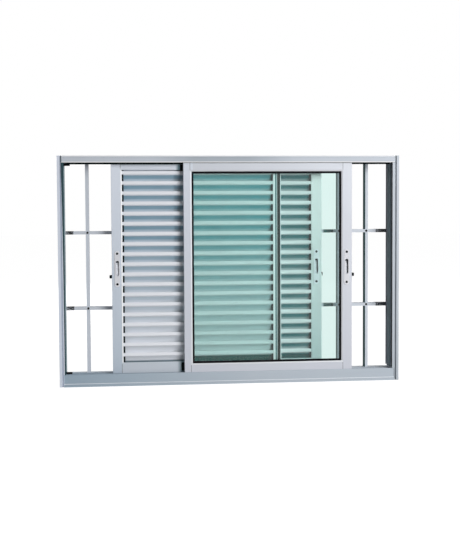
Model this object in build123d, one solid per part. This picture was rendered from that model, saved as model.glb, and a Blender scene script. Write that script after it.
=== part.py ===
"""Sliding aluminium window with two louvred shutter leaves, one glass leaf and a fixed grille.

X runs along the window, to the right as seen from the room. Y runs from the room to the outside.
Z is up. The origin is the middle of the bottom of the frame. All sizes are millimetres.

A depth is measured from the room face of the frame, and an offset across a leaf profile from
that leaf's own room face.
"""
from build123d import *
import os

# Overall frame
frame_width = 1500.0
frame_height = 1000.0
frame_depth = 130.0
frame_wall = 1.6

# Head and sill
head_height = 31.0
head_groove_height = 2.4
head_groove_depth = 1.0
head_groove_drop = 7.5
sill_height = 54.0
sill_lip_radius = 2.0
sill_foot_height = 13.0
sill_foot_projection = 2.4
sill_floor_height = 24.0
sill_step_down = 2.0
track_rail_height = 12.0
track_rail_thickness = 2.4
track_rail_web = 1.6
drain_slot_length = 30.0
drain_slot_height = 4.0
drain_slot_count = 3
drain_slot_stagger = 70.0

# Jambs
jamb_face_width = 29.0
jamb_chamber_width = 19.5
jamb_groove_start = 11.0
jamb_groove_width = 7.0
jamb_groove_depth = 8.0
jamb_first_fin_setback = 3.5
jamb_lip_return = 3.2
fixing_hole_radius = 3.25
fixing_hole_end_distance = 150.0

# Leaves and the tracks that they run in
track_count = 3
closed_leaf_clearance = 2.25
leaf_depth = 22.0
leaf_pitch = 29.0
first_leaf_depth = 8.0
leaf_wall = 1.5
leaf_edge_radius = 1.2
leaf_bottom_height = 31.0
leaf_head_engagement = 12.0
lock_stile_width = 47.0
meeting_stile_width = 35.5
channel_depth = 9.0
glass_top_rail_height = 49.5
glass_bottom_rail_height = 60.5
louvre_top_rail_height = 41.5
louvre_bottom_rail_height = 67.0
track_notch_clearance = 2.0
track_notch_lift = 1.2
rail_end_clearance = 0.1

# Front lip round the inside of a leaf, which the rails' ends lap
lip_width = 6.5
lip_rise = 0.6
lip_shoulder = 0.8
louvre_lip_slope = 0.2

# Grooves in the room face of a louvred leaf's meeting stile, measured from its outer edge
pile_groove_start = 3.0
pile_groove_width = 7.5
pile_groove_depth = 5.0
shade_groove_start = 17.0
shade_groove_width = 6.0
shade_groove_depth = 2.5

# Hooks with which the two louvred leaves catch each other when they are shut
interlock_reach = 4.8
interlock_wall = 1.2
interlock_return = 7.0
interlock_play = 2.0

# How far each leaf stands from the jamb that it closes on
glass_leaf_opening = 191.5
left_shutter_opening = 210.5
right_shutter_opening = 316.5

# Snap-in glazing beads
bead_slope = 1.4
bead_tongue = 1.2
bead_fit = 0.1

# Glass and its gasket
glass_thickness = 4.0
glass_edge_cover = 7.0
glass_into_channel = 6.0
gasket_thickness = 10.0
gasket_web = 1.5
gasket_fit = 0.1

# Louvre slats
slat_count = 19
slat_gauge = 1.2
slat_front_offset = 1.9
slat_back_offset = 19.6
slat_nose_radius = 2.3
slat_face_height = 13.0
slat_height = 49.0
slat_tail_height = 4.0
slat_bow = 2.7
slat_curl_length = 2.4
slat_end_entry = 7.0
slat_first_drop = 4.4
slat_last_lift = 41.4
louvre_weather_lip = 12.0

# Latches
latch_length = 158.0
latch_width = 24.0
latch_thickness = 1.8
latch_centre_height = 509.0
latch_recess_length = 68.0
latch_recess_width = 15.0
latch_recess_depth = 11.0
latch_recess_lift = 2.0
latch_wall = 1.2
latch_fit = 0.4
catch_drop = 34.0
catch_height = 15.0
catch_projection = 6.5
catch_thickness = 5.0
catch_fit = 0.5
catch_bite_start = 1.5
catch_bill = 2.2
catch_bite_height = 8.25

# Rollers
roller_radius = 10.0
roller_flange = 2.0
roller_width = 7.0
roller_end_distance = 90.0
roller_head_room = 6.0
carriage_length = 52.0
carriage_fit = 0.3
carriage_lift = 1.0
wheel_clearance = 1.5
wheel_side_clearance = 0.5
axle_radius = 3.0
guide_length = 16.0

# Grille
grille_bar_pitch = 125.0
grille_bar_width = 15.6
grille_bar_depth = 30.0
grille_bar_wall = 1.2
grille_rail_height = 14.0
grille_rail_depth = 35.0
grille_rail_wall = 1.3
grille_rail_count = 2
grille_clearance = 1.0
grille_socket_depth = 4.0
grille_fit = 0.2

# Track end stops
stop_length = 34.0
stop_height = 22.0
stop_fit = 0.5

# How far a cutting tool runs past the face that it cuts
overrun = 1.0

# Values worked out from the sizes above
half_width = frame_width / 2
room_y = -frame_depth / 2
chamber_inner_x = half_width - jamb_chamber_width
jamb_face_x = half_width - jamb_face_width
head_underside = frame_height - head_height
leaf_top_height = head_underside + leaf_head_engagement
leaf_width = chamber_inner_x - closed_leaf_clearance + meeting_stile_width / 2
glass_leaf_left = chamber_inner_x - glass_leaf_opening - leaf_width
left_shutter_left = -chamber_inner_x + left_shutter_opening
right_shutter_left = chamber_inner_x - right_shutter_opening - leaf_width
leaf_depths = [first_leaf_depth + i * leaf_pitch for i in range(track_count)]
track_gap = leaf_pitch - leaf_depth
divider_depths = [d + leaf_depth + (track_gap - frame_wall) / 2 for d in leaf_depths]
grille_zone_depth = divider_depths[2] + frame_wall
track_rail_top = sill_floor_height + track_rail_height
ledge_top = sill_height - track_count * sill_step_down
gasket_leg = (leaf_depth - gasket_thickness) / 2


def strip(u0, u1, v0, v1):
    """Rectangle between two corners of a section."""
    return Pos((u0 + u1) / 2, (v0 + v1) / 2) * Rectangle(abs(u1 - u0), abs(v1 - v0))


def block(x0, x1, y0, y1, z0, z1):
    """Box between two corners."""
    return Pos((x0 + x1) / 2, (y0 + y1) / 2, (z0 + z1) / 2) * Box(x1 - x0, y1 - y0, z1 - z0)


def joined(shapes):
    """One shape fused from a list."""
    total = shapes[0]
    for shape in shapes[1:]:
        total = total + shape
    return total


def along_x(section, x0, x1):
    """Section drawn as depth across and height up, carried from x0 to x1."""
    return extrude(Plane((x0, room_y, 0), x_dir=(0, 1, 0), z_dir=(1, 0, 0)) * section, amount=x1 - x0)


def along_z(section, z0, z1):
    """Section drawn as X across and depth up the page, carried from z0 to z1."""
    return extrude(Pos(0, room_y, z0) * section, amount=z1 - z0)


def rounded_post(centre, width, foot, top, lip_radius):
    """Wall section that stands on foot and ends in a round bead at top."""
    wall = strip(centre - width / 2, centre + width / 2, foot, top - lip_radius)
    return wall + Pos(centre, top - lip_radius) * Circle(lip_radius)


def hollow(outer, inset, u0, u1, v0, v1):
    """Section with a rectangular chamber cut out, a wall of inset left all round."""
    return outer - strip(u0 + inset, u1 - inset, v0 + inset, v1 - inset)


def sill_section():
    """Three tracks between stepped walls, on a hollow base with a projecting foot."""
    face = sill_foot_projection
    base = strip(face, frame_depth, 0, sill_floor_height)
    base = hollow(base, frame_wall, face, divider_depths[1] + frame_wall, 0, sill_floor_height)
    base = hollow(base, frame_wall, divider_depths[1], frame_depth, 0, sill_floor_height)
    foot = make_face(Polyline(
        (0, 0), (face + frame_wall, 0), (face + frame_wall, sill_foot_height),
        (face, sill_foot_height), (0, sill_foot_height - sill_foot_projection), close=True))
    front = rounded_post(face + sill_lip_radius, frame_wall, 0, sill_height, sill_lip_radius)
    front = front + strip(face, face + sill_lip_radius, 0, sill_height - sill_lip_radius)
    parts = [base, foot, front]
    for i, depth in enumerate(divider_depths):
        top = sill_height - (i + 1) * sill_step_down
        parts.append(strip(depth, depth + frame_wall, sill_floor_height - frame_wall, top))
    for depth in leaf_depths:
        centre = depth + leaf_depth / 2
        foot_height = sill_floor_height - frame_wall
        parts.append(rounded_post(centre, track_rail_web, foot_height,
                                  track_rail_top, track_rail_thickness / 2))
    grille_box = strip(divider_depths[2], frame_depth, sill_floor_height - frame_wall, ledge_top)
    parts.append(hollow(grille_box, frame_wall, divider_depths[2], frame_depth,
                        sill_floor_height - frame_wall, ledge_top))
    return joined(parts)


def drain_slots():
    """Cutters for the slots that let water out of the tracks, staggered from wall to wall."""
    walls = divider_depths + [frame_depth - frame_wall]
    spacing = frame_width / drain_slot_count
    half = drain_slot_length / 2
    cutters = []
    for i, depth in enumerate(walls):
        shift = drain_slot_stagger * (i % 2) - drain_slot_stagger / 2
        for k in range(drain_slot_count):
            x = (k - (drain_slot_count - 1) / 2) * spacing + shift
            y = room_y + depth
            cutters.append(block(x - half, x + half, y - overrun, y + frame_wall + overrun,
                                 sill_floor_height, sill_floor_height + drain_slot_height))
    return cutters


def head_section():
    """Inverted channel with two fins between the leaves and a box over the grille."""
    top = frame_height
    low = head_underside
    front = strip(0, frame_wall, low + frame_wall, top) + Pos(frame_wall, low + frame_wall) * Circle(frame_wall)
    groove_top = top - head_groove_drop
    front = front + strip(frame_wall, 2 * frame_wall, groove_top - 2 * head_groove_height, top)
    front = front - strip(0, head_groove_depth, groove_top - head_groove_height, groove_top)
    parts = [front, strip(0, frame_depth, top - frame_wall, top)]
    for depth in divider_depths:
        parts.append(strip(depth, depth + frame_wall, low, top))
    box = strip(divider_depths[2], frame_depth, low, top)
    parts.append(hollow(box, frame_wall, divider_depths[2], frame_depth, low, top))
    return joined(parts)


def jamb_chamber_section():
    """Hollow outer part of the right jamb: a groove in its room face, and webs in line with the fins."""
    outer = half_width
    inner = chamber_inner_x
    wall = frame_wall
    groove_outer = outer - jamb_groove_start
    groove_inner = groove_outer - jamb_groove_width
    body = strip(inner, outer, 0, frame_depth)
    body = body - strip(groove_inner, groove_outer, 0, jamb_groove_depth)
    body = body - strip(groove_outer + wall, outer - wall, wall, jamb_groove_depth + wall)
    cell_starts = [jamb_groove_depth + wall] + [depth + wall for depth in divider_depths]
    cell_ends = divider_depths + [frame_depth - wall]
    for start, end in zip(cell_starts, cell_ends):
        body = body - strip(inner + wall, outer - wall, start, end)
    return body


def jamb_comb_section():
    """Room-side lip, the fins between the tracks and the outer lip of the right jamb."""
    root = chamber_inner_x
    tip = jamb_face_x
    wall = frame_wall
    lip = strip(tip, root, 0, wall) + strip(tip, tip + wall, 0, jamb_lip_return)
    tips = [tip + jamb_first_fin_setback, tip, tip]
    fins = [strip(t, root, d, d + wall) for t, d in zip(tips, divider_depths)]
    back = strip(tip + jamb_first_fin_setback, root, frame_depth - wall, frame_depth)
    return [lip] + fins + [back]


def fixing_holes():
    """Screw holes through both walls of the right jamb, in the middle track and behind the grille."""
    holes = []
    for depth in fixing_depths():
        for z in (fixing_hole_end_distance, frame_height - fixing_hole_end_distance):
            rod = Cylinder(fixing_hole_radius, jamb_chamber_width * 2, rotation=(0, 90, 0))
            holes.append(Pos(half_width - jamb_chamber_width / 2, room_y + depth, z) * rod)
    return holes


def fixing_depths():
    """Depth of each line of fixing holes: the middle track and the middle of the grille zone."""
    return [leaf_depths[1] + leaf_depth / 2, (grille_zone_depth + frame_depth) / 2]


def right_jamb():
    """Full-height chamber with the comb of fins cut short between sill and head."""
    jamb = along_z(jamb_chamber_section(), 0, frame_height)
    for fin in jamb_comb_section():
        jamb = jamb + along_z(fin, sill_height, head_underside)
    for hole in fixing_holes():
        jamb = jamb - hole
    return jamb


def lip_plate(width, slope):
    """Sloping front lip at the inner edge of a leaf profile, with a raised shoulder."""
    start = width - lip_width
    return make_face(Polyline(
        (start, 0), (start + lip_shoulder, -lip_rise), (width, slope),
        (width, slope + leaf_wall), (start, leaf_wall), close=True))


def leaf_profile(width, foot, glazed, weather_lip):
    """Leaf profile from its outer edge inwards: open foot, hollow box, then the inner channel.

    The channel takes the slat ends, or the gasket, which the bead then holds from the room.
    """
    wall = leaf_wall
    box_end = width - channel_depth
    outer = strip(0, box_end, 0, leaf_depth)
    outer = fillet(outer.vertices().sort_by(Axis.X)[:2], leaf_edge_radius)
    body = outer - strip(foot + wall, box_end - wall, wall, leaf_depth - wall)
    if foot > 0:
        body = body - strip(-overrun, foot, wall, leaf_depth - wall)
    back = strip(box_end - wall, width + weather_lip, leaf_depth - wall, leaf_depth)
    if glazed:
        back = back + strip(width - wall, width, leaf_depth - gasket_leg, leaf_depth)
        return body + back + strip(box_end - wall, width - lip_width - bead_fit, 0, wall)
    front = strip(box_end - wall, width - lip_width, 0, wall) + lip_plate(width, louvre_lip_slope)
    return body + back + front


def grooved(section, start, width, depth):
    """Profile with a groove folded into its room face, a wall left all round it."""
    wall = leaf_wall
    lining = strip(start - wall, start + width + wall, 0, depth + wall)
    return section + lining - strip(start, start + width, 0, depth)


def upright(section, left, width, depth, opens_right):
    """Profile set upright, its outer edge on the left or on the right."""
    if opens_right:
        return Pos(left, depth) * section
    return Pos(left + width, depth) * mirror(section, about=Plane.YZ)


def level(section, depth, opens_up):
    """Profile laid level, its outer edge at the foot or at the top of the leaf."""
    if opens_up:
        return Pos(depth, leaf_bottom_height) * mirror(Rot(0, 0, 90) * section, about=Plane.YZ)
    return Pos(depth, leaf_top_height) * (Rot(0, 0, -90) * section)


def notch(part, depth):
    """Cut the track rail's slot through the foot of an upright."""
    half = track_rail_thickness / 2 + track_notch_clearance
    centre = room_y + depth + leaf_depth / 2
    slot = block(-half_width, half_width, centre - half, centre + half,
                 leaf_bottom_height - overrun, track_rail_top + track_notch_lift)
    return part - slot


def rail_heights(glazed):
    """Heights of the bottom and the top rail of a leaf."""
    if glazed:
        return glass_bottom_rail_height, glass_top_rail_height
    return louvre_bottom_rail_height, louvre_top_rail_height


def stile(section, left, width, depth, opens_right, glazed):
    """Full-height upright of a leaf, its lips cut away where the rails' ends lap them."""
    part = along_z(upright(section, left, width, depth, opens_right), leaf_bottom_height, leaf_top_height)
    low, high = rail_heights(glazed)
    x0 = left + width - lip_width if opens_right else left - overrun
    x1 = left + width + overrun if opens_right else left + lip_width
    y0 = room_y + depth - overrun
    y1 = room_y + depth + leaf_depth + overrun
    part = part - block(x0, x1, y0, y1, leaf_bottom_height - overrun, leaf_bottom_height + low)
    part = part - block(x0, x1, y0, y1, leaf_top_height - high, leaf_top_height + overrun)
    return notch(part, depth)


def rails(left, left_width, right_width, depth, glazed):
    """Top and bottom rail of a leaf, lapped over the lips of its two stiles."""
    low, high = rail_heights(glazed)
    x0 = left + left_width - lip_width + rail_end_clearance
    x1 = left + leaf_width - right_width + lip_width - rail_end_clearance
    bottom = along_x(level(leaf_profile(low, roller_space(), glazed, 0), depth, True), x0, x1)
    if glazed:
        return along_x(level(leaf_profile(high, 0, True, 0), depth, False), x0, x1), bottom
    top = along_x(level(leaf_profile(high, 0, False, louvre_weather_lip), depth, False), x0, x1)
    edge = leaf_top_height - high
    y0 = room_y + depth
    for start, end in ((x0 - overrun, x0 + lip_width), (x1 - lip_width, x1 + overrun)):
        top = top - block(start, end, y0, y0 + leaf_depth + overrun, edge - 2 * louvre_weather_lip, edge)
    return top, bottom


def interlock(front_side):
    """Hook on the room side or the outer side of a meeting stile's profile."""
    setback = (meeting_stile_width - interlock_return - interlock_play) / 2
    if front_side:
        tip = -interlock_reach
        return (strip(setback, setback + interlock_wall, tip, leaf_wall)
                + strip(setback, setback + interlock_return, tip, tip + interlock_wall))
    tip = leaf_depth + interlock_reach
    return (strip(setback, setback + interlock_wall, leaf_depth - leaf_wall, tip)
            + strip(setback, setback + interlock_return, tip - interlock_wall, tip))


def shutter_meeting_stile(left, depth, opens_right):
    """Grooved meeting stile of a louvred leaf with the hook that faces the other louvred leaf."""
    width = meeting_stile_width
    section = leaf_profile(width, 0, False, 0)
    section = grooved(section, pile_groove_start, pile_groove_width, pile_groove_depth)
    section = grooved(section, shade_groove_start, shade_groove_width, shade_groove_depth)
    part = stile(section, left, width, depth, opens_right, False)
    hook = upright(interlock(opens_right), left, width, depth, opens_right)
    return part + along_z(hook, sill_height + track_notch_clearance, head_underside - track_notch_clearance)


def roller_space():
    """Height of the open underside of a bottom rail, in which the rollers sit."""
    return track_rail_top + 2 * roller_radius + roller_head_room - leaf_bottom_height


def rollers(left, depth):
    """Two roller carriages: a housing with an open foot, and a grooved wheel on its axle."""
    pieces = []
    y = room_y + depth + leaf_depth / 2
    half_inside = leaf_depth / 2 - leaf_wall - carriage_fit
    top = leaf_bottom_height + roller_space()
    wheel_z = track_rail_top + roller_radius
    half = carriage_length / 2
    low = leaf_bottom_height + carriage_lift
    wheel_room = roller_radius + roller_flange + wheel_clearance
    wheel_side = roller_width / 2 + wheel_side_clearance
    slot = track_rail_thickness / 2 + track_notch_clearance
    for x in (left + roller_end_distance, left + leaf_width - roller_end_distance):
        housing = block(x - half, x + half, y - half_inside, y + half_inside, low, top)
        housing = housing - block(x - wheel_room, x + wheel_room, y - wheel_side, y + wheel_side,
                                  low - overrun, wheel_z + wheel_room)
        housing = housing - block(x - half - overrun, x + half + overrun, y - slot, y + slot,
                                  low - overrun, track_rail_top + track_notch_clearance)
        wheel = Cylinder(roller_radius + roller_flange, roller_width, rotation=(90, 0, 0))
        groove = Torus(roller_radius + track_rail_thickness, track_rail_thickness, rotation=(90, 0, 0))
        wheel = wheel - groove
        axle = Cylinder(axle_radius, 2 * half_inside, rotation=(90, 0, 0))
        pieces.append(housing + Pos(x, y, wheel_z) * (wheel + axle))
    return pieces


def guides(left, left_width, right_width, depth):
    """Nylon blocks in the two ends of a bottom rail, slotted for the track rail."""
    y = room_y + depth + leaf_depth / 2
    half_inside = leaf_depth / 2 - leaf_wall - carriage_fit
    slot = track_rail_thickness / 2 + track_notch_clearance
    low = leaf_bottom_height + carriage_lift
    x0 = left + left_width
    x1 = left + leaf_width - right_width
    blocks = []
    for start, end in ((x0, x0 + guide_length), (x1 - guide_length, x1)):
        guide = block(start, end, y - half_inside, y + half_inside, low, leaf_bottom_height + roller_space())
        blocks.append(guide - block(start - overrun, end + overrun, y - slot, y + slot,
                                    low - overrun, track_rail_top + track_notch_lift))
    return blocks


def slat_section():
    """Rounded lip to the room, upright face, then a web hollowed on the room side and a drip."""
    half = slat_gauge / 2
    radius = slat_nose_radius - half
    front = slat_front_offset + half
    back = front + 2 * radius
    shoulder = -slat_nose_radius
    knee = Vector(front, -slat_face_height)
    heel = Vector(slat_back_offset - half, slat_tail_height - slat_height)
    slope = (heel - knee).normalized()
    middle = (knee + heel) / 2 + Vector(-slope.Y, slope.X) * slat_bow
    tail = Vector(heel.X, -slat_height)
    lines = [
        Line((back, shoulder - slat_curl_length), (back, shoulder)),
        ThreePointArc((back, shoulder), (front + radius, shoulder + radius), (front, shoulder)),
        Line((front, shoulder), knee),
        ThreePointArc(knee, middle, heel),
        Line(heel, tail),
    ]
    section = joined([trace(line, slat_gauge) for line in lines])
    for corner in (knee, heel):
        section = section + Pos(corner.X, corner.Y) * Circle(half)
    return section


def slats(left, depth, left_stile, right_stile):
    """Ladder of slats whose ends sit in the channels of the two stiles."""
    low = leaf_bottom_height + louvre_bottom_rail_height
    high = leaf_top_height - louvre_top_rail_height
    pitch = (high - slat_first_drop - low - slat_last_lift) / (slat_count - 1)
    section = slat_section()
    x0 = left + left_stile - slat_end_entry
    x1 = left + leaf_width - right_stile + slat_end_entry
    return [along_x(Pos(depth, high - slat_first_drop - i * pitch) * section, x0, x1)
            for i in range(slat_count)]


def latch_face(centre_x, depth, lift):
    """Plane on the room face of a stile, at the latch, lifted by lift."""
    return Plane((centre_x, room_y + depth, latch_centre_height + lift), x_dir=(1, 0, 0), z_dir=(0, -1, 0))


def latch_tray(centre_x, depth):
    """Outside of the latch's recessed tray."""
    shell = SlotOverall(latch_recess_length + 2 * latch_wall, latch_recess_width + 2 * latch_wall, rotation=90)
    return extrude(latch_face(centre_x, depth, latch_recess_lift) * shell, amount=-latch_recess_depth)


def latch(centre_x, depth):
    """Flush pull: round-ended plate with a recessed tray that passes through the stile's face."""
    outline = SlotOverall(latch_length, latch_width, rotation=90)
    plate = extrude(latch_face(centre_x, depth, 0) * outline, amount=latch_thickness)
    mouth = latch_face(centre_x, depth, latch_recess_lift).offset(latch_thickness)
    recess = SlotOverall(latch_recess_length, latch_recess_width, rotation=90)
    recess_depth = latch_thickness + latch_recess_depth - latch_wall
    return plate + latch_tray(centre_x, depth) - extrude(mouth * recess, amount=-recess_depth)


def latch_window(centre_x, depth):
    """Opening in the stile's room face that the tray passes through."""
    cover = 2 * (latch_wall + latch_fit)
    shape = SlotOverall(latch_recess_length + cover, latch_recess_width + cover, rotation=90)
    return extrude(latch_face(centre_x, depth, latch_recess_lift) * shape, amount=-2 * leaf_wall)


def catch(edge_x, centre_x, depth):
    """Hook that reaches from the foot of the latch tray out through the edge of the stile."""
    side = 1 if edge_x > centre_x else -1
    y0 = room_y + depth + (leaf_depth - catch_thickness) / 2
    z = latch_centre_height - catch_drop
    low, high = sorted((centre_x, edge_x + side * catch_projection))
    arm = block(low, high, y0, y0 + catch_thickness, z - catch_height / 2, z + catch_height / 2)
    bite_low, bite_high = sorted((edge_x + side * catch_bite_start,
                                  edge_x + side * (catch_projection - catch_bill)))
    bite = block(bite_low, bite_high, y0 - overrun, y0 + catch_thickness + overrun,
                 z - catch_height, z - catch_height / 2 + catch_bite_height)
    return arm - bite - latch_tray(centre_x, depth)


def catch_window(edge_x, depth):
    """Slot in the edge of the stile for the catch."""
    y0 = room_y + depth + (leaf_depth - catch_thickness) / 2 - catch_fit
    z = latch_centre_height - catch_drop
    half = catch_height / 2 + catch_fit
    reach = leaf_wall + overrun
    return block(edge_x - reach, edge_x + reach, y0, y0 + catch_thickness + 2 * catch_fit, z - half, z + half)


def lock_stile(left, depth, opens_right, glazed):
    """Stile that carries the latch, with the openings for its tray and its catch."""
    section = leaf_profile(lock_stile_width, 0, glazed, 0)
    part = stile(section, left, lock_stile_width, depth, opens_right, glazed)
    centre = left + lock_stile_width / 2
    edge = left if opens_right else left + lock_stile_width
    return part - latch_window(centre, depth) - catch_window(edge, depth)


def glass_opening(left):
    """Clear opening of the glass leaf between its stiles and rails: left, right, bottom and top."""
    return (left + meeting_stile_width, left + leaf_width - lock_stile_width,
            leaf_bottom_height + glass_bottom_rail_height, leaf_top_height - glass_top_rail_height)


def glass_pane(left, depth):
    """Pane that reaches into the glazing channel on all four sides."""
    x0, x1, z0, z1 = glass_opening(left)
    reach = glass_into_channel
    y = room_y + depth + leaf_depth / 2
    return block(x0 - reach, x1 + reach, y - glass_thickness / 2, y + glass_thickness / 2,
                 z0 - reach, z1 + reach)


def glass_gasket(left, depth):
    """Ring with a U section that wraps the edge of the pane."""
    x0, x1, z0, z1 = glass_opening(left)
    outer = glass_into_channel + gasket_web
    cover = glass_edge_cover
    y = room_y + depth + leaf_depth / 2
    half = gasket_thickness / 2 - gasket_fit
    ring = block(x0 - outer, x1 + outer, y - half, y + half, z0 - outer, z1 + outer)
    ring = ring - block(x0 + cover, x1 - cover, y - half - overrun, y + half + overrun,
                        z0 + cover, z1 - cover)
    return ring - glass_pane(left, depth)


def bead_section(width):
    """Sloping lip with a tongue behind the profile's nib and a leg that presses on the gasket."""
    start = width - lip_width
    tongue = strip(start - bead_tongue, start + leaf_wall, leaf_wall + bead_fit, 2 * leaf_wall)
    leg = strip(width - leaf_wall, width, bead_slope, gasket_leg)
    return lip_plate(width, bead_slope) + tongue + leg


def glazing_beads(left, depth):
    """Four beads round the pane: two level ones, and two upright ones between them."""
    x0, x1, z0, z1 = glass_opening(left)
    low, high = rail_heights(True)
    reach = lip_width - rail_end_clearance
    right_stile_left = left + leaf_width - lock_stile_width
    left_bead = upright(bead_section(meeting_stile_width), left, meeting_stile_width, depth, True)
    right_bead = upright(bead_section(lock_stile_width), right_stile_left, lock_stile_width, depth, False)
    return [
        along_x(level(bead_section(low), depth, True), x0 - reach, x1 + reach),
        along_x(level(bead_section(high), depth, False), x0 - reach, x1 + reach),
        along_z(left_bead, z0 + bead_fit, z1 - bead_fit),
        along_z(right_bead, z0 + bead_fit, z1 - bead_fit),
    ]


def grille_span():
    """Depth of the front and back of the grille rails."""
    front = grille_zone_depth + grille_clearance
    return front, front + grille_rail_depth


def bar_depths():
    """Depth of the front and back of the upright bars, centred in the rails."""
    front, back = grille_span()
    inset = (grille_rail_depth - grille_bar_depth) / 2
    return front + inset, back - inset


def bar_places():
    """X of each upright bar, at an even pitch about the middle and clear of the jambs."""
    reach = jamb_face_x - grille_bar_width
    steps = int(reach // grille_bar_pitch)
    return [i * grille_bar_pitch for i in range(-steps, steps + 1)]


def bar_outline(x, grow):
    """Outline of an upright bar at x, grown by grow on each side."""
    front, back = bar_depths()
    half = grille_bar_width / 2 + grow
    return strip(x - half, x + half, front - grow, back + grow)


def grille_bars():
    """Upright tubes that pass through both grille rails into sockets in sill and head."""
    low = ledge_top - grille_socket_depth
    high = head_underside + grille_socket_depth
    bars = []
    for x in bar_places():
        tube = bar_outline(x, 0) - bar_outline(x, -grille_bar_wall)
        bars.append(along_z(tube, low, high))
    return bars


def bar_sockets(z0, z1):
    """Cutter for the upright bars between two heights, with their fit."""
    return [along_z(bar_outline(x, grille_fit), z0, z1) for x in bar_places()]


def grille_rail(level):
    """Level tube between the jambs, punched for the upright bars."""
    front, back = grille_span()
    low = level - grille_rail_height / 2
    high = level + grille_rail_height / 2
    section = hollow(strip(front, back, low, high), grille_rail_wall, front, back, low, high)
    rail = along_x(section, -chamber_inner_x, chamber_inner_x)
    for cutter in bar_sockets(low - overrun, high + overrun):
        rail = rail - cutter
    return rail


def end_stops():
    """Black blocks at the left end of the middle track, at the sill and at the head."""
    depth = leaf_depths[1]
    y0 = room_y + depth
    x0 = -chamber_inner_x
    low = block(x0, x0 + stop_length, y0, y0 + leaf_depth,
                track_rail_top + stop_fit, track_rail_top + stop_fit + stop_height)
    high = block(x0, x0 + stop_length, y0, y0 + leaf_depth,
                 head_underside - stop_height / 2, frame_height - frame_wall)
    return [low, high]


def frame_parts():
    """Head, sill and jambs, with the sockets of the grille bars."""
    head = along_x(head_section(), -chamber_inner_x, chamber_inner_x)
    sill = along_x(sill_section(), -chamber_inner_x, chamber_inner_x)
    for cutter in drain_slots() + bar_sockets(ledge_top - frame_wall - overrun, ledge_top + overrun):
        sill = sill - cutter
    for cutter in bar_sockets(head_underside - overrun, head_underside + frame_wall + overrun):
        head = head - cutter
    right = right_jamb()
    return {"frame_head": head, "frame_sill": sill, "frame_jamb_right": right,
            "frame_jamb_left": mirror(right, about=Plane.YZ)}


def glass_leaf():
    """Leaf in the first track, with its lock stile on the right."""
    left = glass_leaf_left
    depth = leaf_depths[0]
    right_stile_left = left + leaf_width - lock_stile_width
    centre = right_stile_left + lock_stile_width / 2
    top, bottom = rails(left, meeting_stile_width, lock_stile_width, depth, True)
    meeting = leaf_profile(meeting_stile_width, 0, True, 0)
    return {
        "glass_leaf_meeting_stile": stile(meeting, left, meeting_stile_width, depth, True, True),
        "glass_leaf_lock_stile": lock_stile(right_stile_left, depth, False, True),
        "glass_leaf_top_rail": top,
        "glass_leaf_bottom_rail": bottom,
        "glass_leaf_beads": glazing_beads(left, depth),
        "glass_leaf_pane": glass_pane(left, depth),
        "glass_leaf_gasket": glass_gasket(left, depth),
        "glass_leaf_latch": latch(centre, depth),
        "glass_leaf_catch": catch(left + leaf_width, centre, depth),
        "glass_leaf_rollers": rollers(left, depth),
        "glass_leaf_guides": guides(left, meeting_stile_width, lock_stile_width, depth),
    }


def shutter_leaf(name, left, depth, lock_on_left):
    """Louvred leaf with its lock stile on the chosen side."""
    left_width = lock_stile_width if lock_on_left else meeting_stile_width
    right_width = meeting_stile_width if lock_on_left else lock_stile_width
    lock_left = left if lock_on_left else left + leaf_width - lock_stile_width
    meeting_left = left + leaf_width - meeting_stile_width if lock_on_left else left
    edge = left if lock_on_left else left + leaf_width
    centre = lock_left + lock_stile_width / 2
    top, bottom = rails(left, left_width, right_width, depth, False)
    return {
        name + "_lock_stile": lock_stile(lock_left, depth, lock_on_left, False),
        name + "_meeting_stile": shutter_meeting_stile(meeting_left, depth, not lock_on_left),
        name + "_top_rail": top,
        name + "_bottom_rail": bottom,
        name + "_slats": slats(left, depth, left_width, right_width),
        name + "_latch": latch(centre, depth),
        name + "_catch": catch(edge, centre, depth),
        name + "_rollers": rollers(left, depth),
        name + "_guides": guides(left, left_width, right_width, depth),
    }


def grille():
    """Fixed security grille behind the last track."""
    spacing = frame_height / (grille_rail_count + 1)
    names = ("grille_rail_lower", "grille_rail_upper")
    nodes = {name: grille_rail(spacing * (i + 1)) for i, name in enumerate(names)}
    nodes["grille_bars"] = grille_bars()
    return nodes


def write(name, shape):
    """Write one node as STEP, as one solid or as several that don't touch."""
    solids = shape if isinstance(shape, list) else [shape]
    flat = [solid for part in solids for solid in part.solids()]
    export_step(flat[0] if len(flat) == 1 else Compound(children=flat), "parts/" + name + ".step")


def main():
    os.makedirs("parts", exist_ok=True)
    nodes = {}
    nodes.update(frame_parts())
    nodes.update(glass_leaf())
    nodes.update(shutter_leaf("left_shutter", left_shutter_left, leaf_depths[1], True))
    nodes.update(shutter_leaf("right_shutter", right_shutter_left, leaf_depths[2], False))
    nodes.update(grille())
    nodes["track_end_stops"] = end_stops()
    for name, shape in nodes.items():
        write(name, shape)


main()
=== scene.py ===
import functools
import math

import bmesh
import bpy
import numpy as np
from mathutils import Matrix, Vector


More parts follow.
